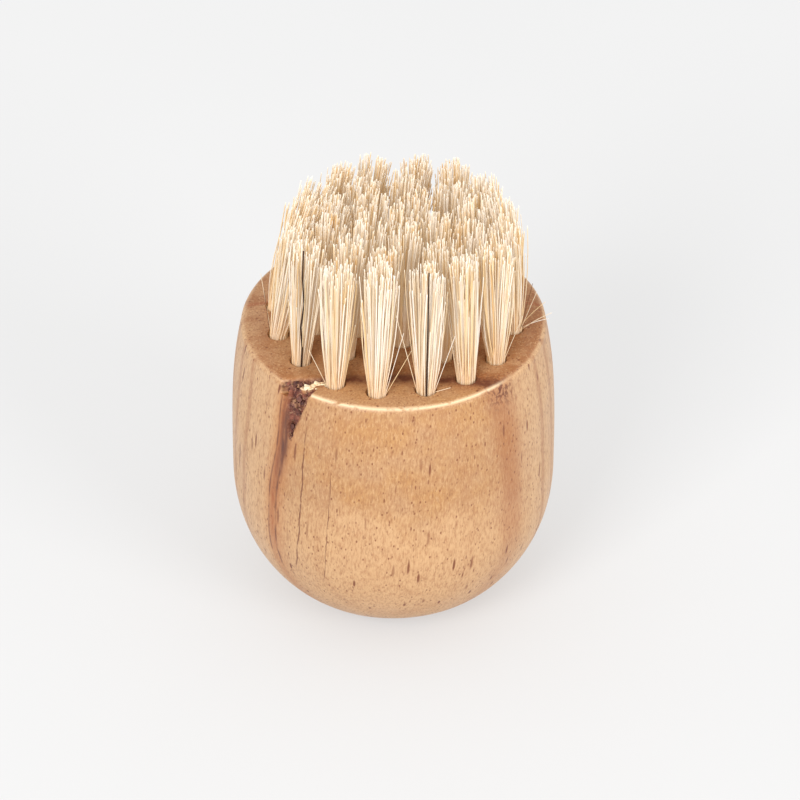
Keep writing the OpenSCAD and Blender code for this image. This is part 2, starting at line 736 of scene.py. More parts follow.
    def _lines(self, graph: Graph, at: GrainPoint, colour: Socket) -> Socket:
        """Draw the thin resin lines at the front left.

        Args:
            graph: The material's graph.
            at: The point of the wood.
            colour: The colour so far.

        Returns:
            The colour socket.
        """
        front = graph.remap(at.y, (-14.0, -17.0))
        broken = graph.noise(graph.stretch(at.place, 0.3, 1.0), 0.3, 3.0)
        broken = graph.remap(broken, (0.36, 0.52), (0.25, 1.0))
        across = graph.math("MULTIPLY_ADD", at.z, -self.grain_lean, at.x)
        across = graph.waver(across, graph.noise(graph.stretch(at.place, 0.2, 1.0), 0.25, 3.0), 0.8)
        for line in self.lines:
            side = line.side - self.grain_lean * self.seam_pivot
            mask = graph.product(
                graph.bell(across, side, line.half_width, line.depth),
                front,
                broken,
                graph.remap(at.z, (line.bottom, line.bottom + self.seam_taper)),
                graph.remap(at.z, (line.top, line.top - self.seam_taper)),
            )
            colour = graph.blend(mask, colour, self.dark_heart)
        return colour

    def _pores(self, graph: Graph, grain: Socket) -> Socket:
        """Scatter fine pores, short dashes and a few long dark dashes along the grain.

        Args:
            graph: The material's graph.
            grain: Position in millimetres, with Z along the grain.

        Returns:
            A mask socket, 1 in a pore.
        """
        total = 0.0
        for size in self.pores:
            cells = graph.add(
                "ShaderNodeTexVoronoi",
                {"Vector": graph.stretch(grain, size.across, size.along), "Scale": 1.0},
                feature="F1",
                distance="EUCLIDEAN",
            )
            pick = graph.add("ShaderNodeSeparateColor", {0: cells.outputs["Color"]}).outputs[0]
            depth = graph.remap(pick, (size.share, 1.0), (0.35 * size.depth, size.depth))
            dot = graph.remap(cells.outputs["Distance"], (0.45 * size.dot, size.dot), (1.0, 0.0))
            total = graph.math("MAXIMUM", graph.product(dot, depth), total)
        return total

    def _bark(self, graph: Graph, place: Socket) -> Socket:
        """Colour the bark pocket: plum-brown with grey crumbs.

        Args:
            graph: The material's graph.
            place: Position in millimetres.

        Returns:
            The colour socket.
        """
        patch = graph.noise(graph.stretch(place, 1.3, 0.45), 1.1, 4.0, 0.65)
        crumb = graph.noise(place, 1.9, 3.0, 0.7)
        return graph.coats(
            self.bark_dark,
            (graph.remap(patch, (0.38, 0.62)), self.bark_brown),
            (graph.remap(crumb, (0.52, 0.64), (0.0, 0.85)), self.bark_grey),
        )


@dataclass(frozen=True)
class BristleFinish(Finish):
    """Undyed natural bristle, coloured strand by strand, with a faint painted glow that lifts the
    shade between bristles in place of light passing through them.
    """

    title: ClassVar[str] = "natural_bristle"
    # Warm tint used twice: as painted bounce and shade near the root, and for the slow random drift
    # of tone along the tufts.
    root_bounce_and_drift_tint: Colour = (0.74, 0.5, 0.28)
    cut_end: Colour = (0.96, 0.93, 0.85)
    painted_through_glow: Colour = (1.0, 0.66, 0.3)
    shades: tuple[tuple[float, Colour], ...] = (
        (Tone.BLACK.value, (0.04, 0.018, 0.012)),
        (Tone.BROWN.value, (0.16, 0.07, 0.03)),
        (Tone.TAN.value, (0.72, 0.46, 0.2)),
        (Tone.STRAW.value, (0.79, 0.595, 0.345)),
        (Tone.CREAM.value, (0.825, 0.7, 0.53)),
        (Tone.IVORY.value, (0.86, 0.805, 0.73)),
    )

    def inputs(self, graph: Graph, place: Socket) -> dict[str, object]:
        """Colour the bristles, with painted warm bounce and shade towards the root and paler at the
        cut end.

        Args:
            graph: The material's graph.
            place: Position in millimetres.

        Returns:
            What feeds each of the shader's inputs.
        """
        tone, along = graph.attribute(TONE_LAYER), graph.attribute(ALONG_LAYER)
        fair = graph.remap(tone, (Tone.BROWN.value, Tone.TAN.value))
        # Painted shade and warm bounce from the wood: strongest at the root, gone halfway up.
        root = graph.product(graph.remap(along, (0.0, 0.5), (0.62, 0.0)), fair)
        end = graph.product(graph.remap(along, (0.965, 0.995), (0.0, 0.7)), fair)
        strand = graph.coats(
            graph.ramp(tone, self.shades), (root, self.root_bounce_and_drift_tint), (end, self.cut_end)
        )
        cloud = graph.group(self.effects.drift, Vector=place, Scale=0.55, Low=0.0, High=0.14)
        lines = graph.group(self.effects.fibres, Vector=place, Across=14.0, Along=1.5)
        return {
            "Base Color": graph.blend(graph.product(cloud, fair), strand, self.root_bounce_and_drift_tint),
            "Roughness": graph.remap(lines, (0.3, 0.7), (0.42, 0.62)),
            "Normal": graph.bump(lines, 0.25, 0.02 * MM),
            "Specular IOR Level": 0.2,
            # Painted glow: the bristles emit a faint warm light that lifts the shade between them,
            # standing in for light passing through.
            "Emission Color": graph.blend(graph.product(fair, 0.5), strand, self.painted_through_glow),
            "Emission Strength": 0.088,
        }


@dataclass(frozen=True)
class SplinterFinish(Finish):
    """Torn, unoiled wood and bark crumbs, from plum-brown to cream."""

    title: ClassVar[str] = "torn_wood_and_bark"
    shades: tuple[tuple[float, Colour], ...] = (
        (0.0, (0.05, 0.014, 0.012)),
        (0.35, (0.17, 0.06, 0.04)),
        (0.6, (0.45, 0.24, 0.12)),
        (0.85, (0.86, 0.68, 0.42)),
        (1.0, (0.93, 0.82, 0.6)),
    )

    def inputs(self, graph: Graph, place: Socket) -> dict[str, object]:
        """Colour the fragments by their own tone, with specks.

        Args:
            graph: The material's graph.
            place: Position in millimetres.

        Returns:
            What feeds each of the shader's inputs.
        """
        specks = graph.noise(place, 2.2, 3.0, 0.6)
        tone = graph.waver(graph.attribute(TONE_LAYER), specks, 0.9)
        lines = graph.group(self.effects.fibres, Vector=place, Across=5.0, Along=5.0)
        return {
            "Base Color": graph.ramp(tone, self.shades),
            "Roughness": graph.remap(lines, (0.3, 0.7), (0.6, 0.8)),
            "Normal": graph.bump(lines, 0.6, 0.08 * MM),
        }


@dataclass(frozen=True)
class SteelFinish(Finish):
    """Drawn flat steel strip, brushed along its length."""

    title: ClassVar[str] = "drawn_steel_strip"
    bright: Colour = (0.58, 0.57, 0.55)
    dull: Colour = (0.38, 0.37, 0.36)

    def inputs(self, graph: Graph, place: Socket) -> dict[str, object]:
        """Brush the steel along X and let its colour drift.

        Args:
            graph: The material's graph.
            place: Position in millimetres.

        Returns:
            What feeds each of the shader's inputs.
        """
        turned = graph.tilt(place, math.pi / 2)
        lines = graph.group(self.effects.fibres, Vector=turned, Across=16.0, Along=0.6)
        cloud = graph.group(self.effects.drift, Vector=place, Scale=0.8, Low=0.0, High=0.6)
        return {
            "Base Color": graph.blend(cloud, self.bright, self.dull),
            "Roughness": graph.remap(lines, (0.3, 0.7), (0.26, 0.48)),
            "Normal": graph.bump(lines, 0.3, 0.01 * MM),
            "Metallic": 1.0,
        }


@dataclass(frozen=True)
class FloorFinish(Finish):
    """Plain pale studio paper, lit from below so that shadows stay faint."""

    title: ClassVar[str] = "studio_paper"
    unit: ClassVar[float] = 1.0
    paper: Colour = (0.35, 0.35, 0.35)
    shade: Colour = (0.342, 0.342, 0.342)
    glow: float = 0.45

    def inputs(self, graph: Graph, place: Socket) -> dict[str, object]:
        """Let the paper's shade drift slightly.

        Args:
            graph: The material's graph.
            place: Position in metres.

        Returns:
            What feeds each of the shader's inputs.
        """
        cloud = graph.group(self.effects.drift, Vector=place, Scale=9.0, Low=0.0, High=1.0)
        return {
            "Base Color": graph.blend(cloud, self.paper, self.shade),
            "Roughness": 0.95,
            "Specular IOR Level": 0.0,
            "Emission Color": WHITE,
            "Emission Strength": self.glow,
        }


# --------------------------------------------------------------------------- layout


@dataclass(frozen=True)
class TuftPlace:
    """Where one tuft stands and how far it fans, read from its CAD solid."""

    name: str
    centre: Vector
    root_z: float
    tip_radius: float


@dataclass(frozen=True)
class Layout:
    """Every place and outer size that the frame gives."""

    block_radius: float
    block_top: float
    tufts: tuple[TuftPlace, ...]
    trim_point: Vector
    trim_fall: float

    @classmethod
    def from_frame(cls, nodes: dict[str, bpy.types.Object]) -> "Layout":
        """Read the layout from the CAD nodes.

        Args:
            nodes: The frame's nodes by name.

        Returns:
            The layout.
        """
        low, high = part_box(Node.HANDLE.value)
        tufts, front = [], []
        for name in sorted(n for n in nodes if n.startswith("tuft_")):
            near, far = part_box(name)
            centre = Vector(((near.x + far.x) / 2, (near.y + far.y) / 2))
            tufts.append(TuftPlace(name, centre, near.z, (far.x - near.x) / 2))
            front.append((near.y, far.z))
        first, last = min(front), max(front)
        fall = (first[1] - last[1]) / (last[0] - first[0])
        return cls((high.x - low.x) / 2, high.z, tuple(tufts), Vector(first), fall)

    def trim_height(self, y: float) -> float:
        """Give the trim plane's height at a place along Y."""
        return self.trim_point.y - (y - self.trim_point.x) * self.trim_fall


# --------------------------------------------------------------------------- bark pocket


@dataclass(frozen=True)
class BarkPocket:
    """The pocket of ingrown bark that breaks the rim at the front left."""

    block_top: float
    bearing: float = math.radians(-37.8)
    mouth_half_width: float = 2.05 * MM
    length_down: float = 9.4 * MM
    drift_down: float = -0.95 * MM
    rim_inner: float = 21.4 * MM
    groove_start: Plan = (-17.0 * MM, -17.2 * MM)
    groove_end: Plan = (-10.9 * MM, -16.8 * MM)
    groove_half_width: float = 0.8 * MM
    lip_start: Plan = (-13.9 * MM, -18.2 * MM)
    lip_end: Plan = (-10.4 * MM, -17.7 * MM)
    lip_half_width: float = 0.7 * MM
    lip_grain: float = 0.6 * MM
    coarse_grain: float = 1.3 * MM
    fine_grain: float = 0.5 * MM
    groove_depth: float = 2 * MM
    edge_blend: Plan = (-0.3 * MM, 0.25 * MM)
    inner_blend: float = 0.6 * MM
    taper_power: float = 0.85
    sink: float = 1.15 * MM
    patch_reach: float = 4.5 * MM
    patch_inner: float = 16 * MM
    patch_spare: float = 1.5 * MM

    def along_rim(self, point: Vector) -> float:
        """Give the distance round the rim from the pocket's bearing, positive to the right."""
        angle = math.atan2(point.x, -point.y)
        return (angle - self.bearing) * math.hypot(point.x, point.y)

    def lip(self, point: Vector) -> float:
        """Give 1 on the lip of sound wood left standing in the pocket, and 0 off it.

        Args:
            point: A point on the block's surface.

        Returns:
            A number from 0 to 1.
        """
        away = distance_to_segment((point.x, point.y), self.lip_start, self.lip_end)
        ragged = noise.noise(point / self.lip_grain) * 0.35 * MM
        return 1 - smooth_step(0.6, 1.1, (away + ragged) / self.lip_half_width)

    def near(self, point: Vector) -> bool:
        """Tell whether a point is in the patch of the block that gets a finer mesh.

        Args:
            point: A point on the block's surface.

        Returns:
            Whether the point is that near.
        """
        if point.y > 0 or self.block_top - point.z > self.length_down + self.patch_spare:
            return False
        away = distance_to_segment((point.x, point.y), self.groove_start, self.groove_end)
        return away < self.patch_reach and math.hypot(point.x, point.y) > self.patch_inner

    def strength(self, point: Vector) -> float:
        """Measure how far inside the pocket a point of the surface is.

        Args:
            point: A point on the block's surface.

        Returns:
            1 well inside the pocket, 0 outside it.
        """
        if point.y > 0 or point.x > 0:
            return 0.0
        down = self.block_top - point.z
        ragged = noise.noise(point / self.coarse_grain) * 0.55
        ragged += noise.noise(point / self.fine_grain) * 0.3
        wedge = groove = 0.0
        if down < self.length_down:
            part = max(down / self.length_down, 0.0)
            half = self.mouth_half_width * (1 - part) ** self.taper_power
            off = abs(self.along_rim(point) - self.drift_down * part)
            wedge = 1 - smooth_step(*self.edge_blend, off - half + ragged * 0.45 * MM)
            reach = math.hypot(point.x, point.y) + ragged * 0.5 * MM
            wedge *= smooth_step(self.rim_inner, self.rim_inner + self.inner_blend, reach)
        if down < self.groove_depth:
            away = distance_to_segment((point.x, point.y), self.groove_start, self.groove_end)
            spare = away - self.groove_half_width + ragged * 0.5 * MM
            groove = 1 - smooth_step(*self.edge_blend, spare)
        return max(wedge, groove)


# --------------------------------------------------------------------------- the block


@dataclass(frozen=True)
class TurnedBlock:
    """The turned wooden block with its drilled holes, strip nicks and bark pocket."""

    layout: Layout
    pocket: BarkPocket
    finish: bpy.types.Material
    belly_height: float = 22.6 * MM
    foot_radius: float = 8.0 * MM
    rim_inset: float = 1.6 * MM
    rim_round: float = 1.2 * MM
    shoulder_power: float = 3.6
    hole_radius: float = 1.7 * MM
    hole_flare: float = 0.12 * MM
    drill_point: float = math.radians(118)
    strip_nick: Vector = Vector((4.44, 0.44, 2.04)) * MM
    strip_rise: float = 0.78 * MM
    turns: int = 256
    hole_turns: int = 40
    foot_steps: int = 32
    shoulder_steps: int = 36
    rim_steps: int = 10
    top_steps: int = 18
    pocket_cuts: int = 3
    hand_wobble: float = 0.09 * MM
    wobble_grain: float = 14 * MM
    wobble_start: float = 4 * MM
    sink_grain: float = 0.8 * MM
    flare_depth: float = 0.25 * MM
    cut_above: float = 2 * MM
    # Place and width of the rim band: partly sanded wood, partly a painted highlight.
    wear_and_highlight_height: float = 0.8
    wear_and_highlight_half: float = 0.19
    wear_and_highlight_front: Plan = (-15.5 * MM, -18.4 * MM)
    wear_and_highlight_inset: float = 3.4 * MM
    foot_end_grain: Plan = (3.5 * MM, 0.5 * MM)

    def build(self) -> bpy.types.Object:
        """Build the block and put it in the frame.

        Returns:
            The finished piece.
        """
        body = self._spun_body()
        cutters = [self._drills(), self._nicks()]
        for cutter in cutters:
            cut = body.modifiers.new(cutter.name, "BOOLEAN")
            cut.operation = "DIFFERENCE"
            cut.solver = "EXACT"
            cut.object = cutter
        evaluated = body.evaluated_get(bpy.context.evaluated_depsgraph_get())
        mesh = bpy.data.meshes.new_from_object(evaluated)
        body.modifiers.clear()
        body.data = mesh
        for cutter in cutters:
            bpy.data.objects.remove(cutter)
        self._mark_surface(mesh)
        dress(mesh, self.finish, 50)
        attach(body, BODY)
        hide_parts(Node.HANDLE.value)
        return body

    def _outline(self) -> list[Plan]:
        """Draw the half outline, from the foot to the middle of the top.

        Returns:
            Radius and height of each point.
        """
        radius, top = self.layout.block_radius, self.layout.block_top
        inner = radius - self.rim_inset - self.rim_round
        points = [(self.foot_radius * k / 4, 0.0) for k in range(4)]
        for k in range(self.foot_steps + 1):
            t = k / self.foot_steps * math.pi / 2
            across = self.foot_radius + (radius - self.foot_radius) * math.sin(t)
            points.append((across, self.belly_height * (1 - math.cos(t))))
        shoulder = top - self.rim_round - self.belly_height
        for k in range(1, self.shoulder_steps + 1):
            u = k / self.shoulder_steps
            across = radius - self.rim_inset * u**self.shoulder_power
            points.append((across, self.belly_height + shoulder * u))
        for k in range(1, self.rim_steps + 1):
            t = k / self.rim_steps * math.pi / 2
            across = inner + self.rim_round * math.cos(t)
            points.append((across, top - self.rim_round + self.rim_round * math.sin(t)))
        steps = range(1, self.top_steps + 1)
        return points + [(inner * (1 - k / self.top_steps), top) for k in steps]

    def _spun_body(self) -> bpy.types.Object:
        """Spin the outline a full turn, refine the mesh at the pocket and shape it.

        Returns:
            The body, still without its holes.
        """
        bm = bmesh.new()
        spin_outline(bm, self._outline(), Vector((0.0, 0.0)), self.turns)
        close_shells(bm)
        patch = [e for e in bm.edges if all(self.pocket.near(v.co) for v in e.verts)]
        bmesh.ops.subdivide_edges(bm, edges=patch, cuts=self.pocket_cuts, use_grid_fill=True)
        bmesh.ops.triangulate(bm, faces=[f for f in bm.faces if len(f.verts) > 4])
        self._shape_surface(bm)
        return object_from_bmesh(bm, "turned_wooden_block")

    def _shape_surface(self, bm: bmesh.types.BMesh) -> None:
        """Sink the pocket and give the sides the slight wander of hand sanding.

        Args:
            bm: The spun body.
        """
        bm.normal_update()
        moves = []
        for vert in bm.verts:
            point = vert.co
            inside = self.pocket.strength(point) * (1 - 0.8 * self.pocket.lip(point))
            rough = 0.65 + 0.6 * noise.noise(point / self.sink_grain)
            depth = self.pocket.sink * inside * rough
            side = smooth_step(0.0, self.wobble_start, point.z)
            flat = smooth_step(0.97, 0.999, vert.normal.z)
            wander = noise.noise(point / self.wobble_grain) * self.hand_wobble * side * (1 - flat)
            moves.append(vert.normal * (min(wander, 0.0) - depth))
        for vert, move in zip(bm.verts, moves):
            vert.co += move

    def _drills(self) -> bpy.types.Object:
        """Spin one drill shape at every hole, with its point below and a mouth flare above.

        Returns:
            The cutter.
        """
        bm = bmesh.new()
        top = self.layout.block_top
        for place in self.layout.tufts:
            point_z = place.root_z - self.hole_radius / math.tan(self.drill_point / 2)
            outline = (
                (0.0, point_z),
                (self.hole_radius, place.root_z),
                (self.hole_radius, top - self.flare_depth),
                (self.hole_radius + self.hole_flare, top + 0.02 * MM),
                (self.hole_radius + self.hole_flare, top + self.cut_above),
                (0.0, top + self.cut_above),
            )
            spin_outline(bm, outline, place.centre, self.hole_turns)
        close_shells(bm)
        return object_from_bmesh(bm, "drills")

    def _nicks(self) -> bpy.types.Object:
        """Make the nick that each anchor strip bites into the walls of its hole.

        Returns:
            The cutter.
        """
        bm = bmesh.new()
        for place in self.layout.tufts:
            low = place.root_z + self.strip_rise
            middle = Vector((place.centre.x, place.centre.y, low + self.strip_nick.z / 2))
            matrix = Matrix.Translation(middle) @ Matrix.Diagonal((*self.strip_nick, 1.0))
            bmesh.ops.create_cube(bm, size=1.0, matrix=matrix)
        return object_from_bmesh(bm, "nicks")

    def _mark_surface(self, mesh: bpy.types.Mesh) -> None:
        """Store where the surface is bark, sawn end grain, or sanded rim with a painted highlight.

        Args:
            mesh: The cut body.
        """
        layers = {
            name: mesh.attributes.new(name, "FLOAT", "POINT").data
            for name in (BARK_LAYER, END_LAYER, RIM_LAYER)
        }
        top = self.layout.block_top
        rim = self.layout.block_radius - self.rim_inset - self.rim_round
        for vert in mesh.vertices:
            point = vert.co
            up = (point.z - top + self.rim_round) / self.rim_round
            bark = self.pocket.strength(point) * (1 - self.pocket.lip(point))
            # The rim band is partly sanding and partly a painted highlight, kept mostly to the front,
            # where the lights catch the rounding.
            front = smooth_step(*self.wear_and_highlight_front, point.y)
            reach = point.to_2d().length
            outer = smooth_step(self.layout.block_radius - self.wear_and_highlight_inset, rim, reach)
            wear_and_highlight = max(0.0, 1 - abs(up - self.wear_and_highlight_height) / self.wear_and_highlight_half)
            wear_and_highlight *= outer * (0.1 + 0.9 * front)
            foot = smooth_step(*self.foot_end_grain, point.z)
            layers[BARK_LAYER][vert.index].value = bark
            layers[END_LAYER][vert.index].value = max(smooth_step(0.7, 0.98, up), foot)
            layers[RIM_LAYER][vert.index].value = wear_and_highlight * (1 - bark)


@dataclass(frozen=True)
class PocketDebris:
    """Slivers of torn wood and crumbs of bark that are left in the pocket."""

    layout: Layout
    pocket: BarkPocket
    finish: bpy.types.Material
    slivers: int = 14
    crumbs: int = 30
    wedge_share: float = 0.6
    arc_radius: float = 25 * MM
    seed: int = 41

    def build(self) -> bpy.types.Object:
        """Build the slivers and crumbs as one piece.

        Returns:
            The finished piece.
        """
        rng = random.Random(self.seed)
        bm = bmesh.new()
        tone = bm.verts.layers.float.new(TONE_LAYER)
        for _ in range(self.slivers):
            self._sliver(bm, tone, rng)
        for _ in range(self.crumbs):
            self._crumb(bm, tone, rng)
        bmesh.ops.recalc_face_normals(bm, faces=bm.faces)
        debris = object_from_bmesh(bm, "bark_pocket_debris")
        dress(debris.data, self.finish, 40)
        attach(debris, BODY)
        return debris

    def _sliver(
        self, bm: bmesh.types.BMesh, tone: bmesh.types.BMLayerItem, rng: random.Random
    ) -> None:
        """Lay one tapered sliver along the lip.

        Args:
            bm: The mesh being built.
            tone: Its tone layer.
            rng: The piece's random source.
        """
        start, end = Vector(self.pocket.lip_start), Vector(self.pocket.lip_end)
        place = start.lerp(end, rng.uniform(0.05, 0.92))
        rise = self.layout.block_top + rng.uniform(-0.3, 0.12) * MM
        middle = Vector((place.x, place.y + rng.uniform(-0.4, 0.45) * MM, rise))
        turn = Matrix.Rotation(rng.uniform(-0.45, 0.45), 4, "Z")
        tilt = Matrix.Rotation(math.pi / 2 + rng.uniform(-0.2, 0.2), 4, "Y")
        flat = Matrix.Diagonal((0.55, 1.0, 1.0, 1.0))
        made = bmesh.ops.create_cone(
            bm,
            cap_ends=True,
            segments=7,
            radius1=rng.uniform(0.2, 0.42) * MM,
            radius2=rng.uniform(0.05, 0.16) * MM,
            depth=rng.uniform(1.2, 2.8) * MM,
            matrix=Matrix.Translation(middle) @ turn @ tilt @ flat,
        )
        self._roughen(made["verts"], tone, rng, rng.uniform(0.72, 1.0), 0.07 * MM)

    def _crumb(
        self, bm: bmesh.types.BMesh, tone: bmesh.types.BMLayerItem, rng: random.Random
    ) -> None:
        """Drop one crumb into the wedge or the groove.

        Args:
            bm: The mesh being built.
            tone: Its tone layer.
            rng: The piece's random source.
        """
        size = rng.uniform(0.2, 0.62) * MM
        if rng.random() < self.wedge_share:
            part = rng.random() ** 1.4 * 0.72
            spare = self.pocket.mouth_half_width * (1 - part) * 0.62
            angle = self.pocket.bearing + rng.uniform(-spare, spare) / self.arc_radius
            angle += self.pocket.drift_down * part / self.arc_radius
            height = self.layout.block_top - 0.6 * MM - part * self.pocket.length_down
            reach = self.layout.block_radius - (1.2 + 1.3 * (1 - part) ** 2) * MM
            middle = Vector((math.sin(angle) * reach, -math.cos(angle) * reach, height))
        else:
            start, end = Vector(self.pocket.groove_start), Vector(self.pocket.groove_end)
            place = start.lerp(end, rng.random())
            offset = rng.uniform(-0.5, 0.5) * MM
            rise = self.layout.block_top - rng.uniform(0.5, 0.8) * MM
            middle = Vector((place.x, place.y + offset, rise))
        made = bmesh.ops.create_icosphere(
            bm, subdivisions=1, radius=size, matrix=Matrix.Translation(middle)
        )
        self._roughen(made["verts"], tone, rng, rng.uniform(0.03, 0.58), size * 0.4)

    @staticmethod
    def _roughen(
        verts: list[bmesh.types.BMVert],
        tone: bmesh.types.BMLayerItem,
        rng: random.Random,
        value: float,
        amount: float,
    ) -> None:
        """Jitter one fragment and give it its tone.

        Args:
            verts: Its vertices.
            tone: The tone layer.
            rng: The piece's random source.
            value: The fragment's tone.
            amount: How far a vertex may move.
        """
        for vert in verts:
            vert[tone] = value
            vert.co += Vector([rng.uniform(-amount, amount) for _ in range(3)])


# --------------------------------------------------------------------------- the tufts


@dataclass(frozen=True)
class Strand:
    """One bristle: its root, its tip, its thickness, its bend and its tone."""

    root: Vector
    tip: Vector
    radius: float
    tone: float
    bow: Vector
    wave: float = 0.0

    def centre(self, part: float, fold_z: float, root_z: float) -> Vector:
        """Give a point of the bristle's centre line.

        Args:
            part: -1 at the fold, -0.75 above the strip, 0 at the wood and 1 at the tip.
            fold_z: Height of the fold under the strip.
            root_z: Height just above the strip.

        Returns:
            The point.
        """
        if part < -0.9:
            return Vector((self.root.x, self.root.y, fold_z))
        if part < -0.5:
            return Vector((self.root.x, self.root.y, root_z))
        if part <= 0:
            return self.root.copy()
        point = self.root.lerp(self.tip, part)
        point += self.bow * math.sin(math.pi * part)
        point.x += math.sin(part * 5 * math.pi) * math.sin(math.pi * part) * self.wave
        return point


@dataclass(frozen=True)
class Lock:
    """A group of bristles that cling together: tip place, extra height and shade."""

    offset: Vector
    rise: float
    shade: float


@dataclass(frozen=True)
class Flyaway:
    """A named stray bristle: the tuft it leaves, its root in the hole and its tip."""

    tuft: str
    root: Plan
    tip: tuple[float, float, float]
    tone: Tone
    wave: float = 0.0


# Tips are in millimetres from the middle of the flat top; roots are from the hole's centre.
FLYAWAYS = (
    Flyaway("tuft_outer_02", (0.1, -1.55), (-13.9, -13.9, 23.1), Tone.BLACK, 0.3 * MM),
    Flyaway("tuft_outer_05", (0.1, -1.6), (5.5, -21.4, 24.3), Tone.BLACK),
    Flyaway("tuft_outer_08", (1.2, -0.5), (25.2, -2.6, 2.9), Tone.CREAM),
    Flyaway("tuft_outer_08", (1.3, 0.1), (24.7, -1.6, 1.0), Tone.IVORY),
    Flyaway("tuft_outer_08", (1.1, 0.6), (24.1, -2.0, 4.6), Tone.STRAW),
    Flyaway("tuft_outer_08", (1.0, -1.0), (22.6, -4.4, 8.2), Tone.CREAM),
    Flyaway("tuft_outer_08", (1.1, -0.8), (22.0, -3.4, 9.2), Tone.BROWN),
    Flyaway("tuft_outer_07", (1.3, -0.3), (20.4, -6.4, 5.0), Tone.CREAM),
    Flyaway("tuft_outer_01", (-1.2, 0.2), (-20.9, -3.6, 11.4), Tone.CREAM),
    Flyaway("tuft_outer_01", (-1.3, -0.2), (-20.4, -4.4, 8.6), Tone.BROWN),
    Flyaway("tuft_outer_04", (1.4, -0.6), (2.8, -18.8, 7.4), Tone.STRAW),
    Flyaway("tuft_outer_04", (1.3, -0.8), (1.6, -20.6, 12.2), Tone.IVORY),
    Flyaway("tuft_outer_05", (-1.4, -0.4), (0.4, -20.2, 15.4), Tone.CREAM),
    Flyaway("tuft_outer_05", (1.4, -0.4), (9.6, -19.2, 10.6), Tone.IVORY),
    Flyaway("tuft_outer_05", (1.3, -0.7), (8.9, -20.2, 1.3), Tone.CREAM),
    Flyaway("tuft_outer_03", (1.4, -0.4), (-5.9, -19.0, 12.6), Tone.STRAW),
    Flyaway("tuft_outer_03", (-1.4, -0.3), (-13.2, -16.4, 5.8), Tone.CREAM),
    Flyaway("tuft_outer_02", (1.4, 0.4), (-12.4, -13.2, 6.6), Tone.CREAM),
)


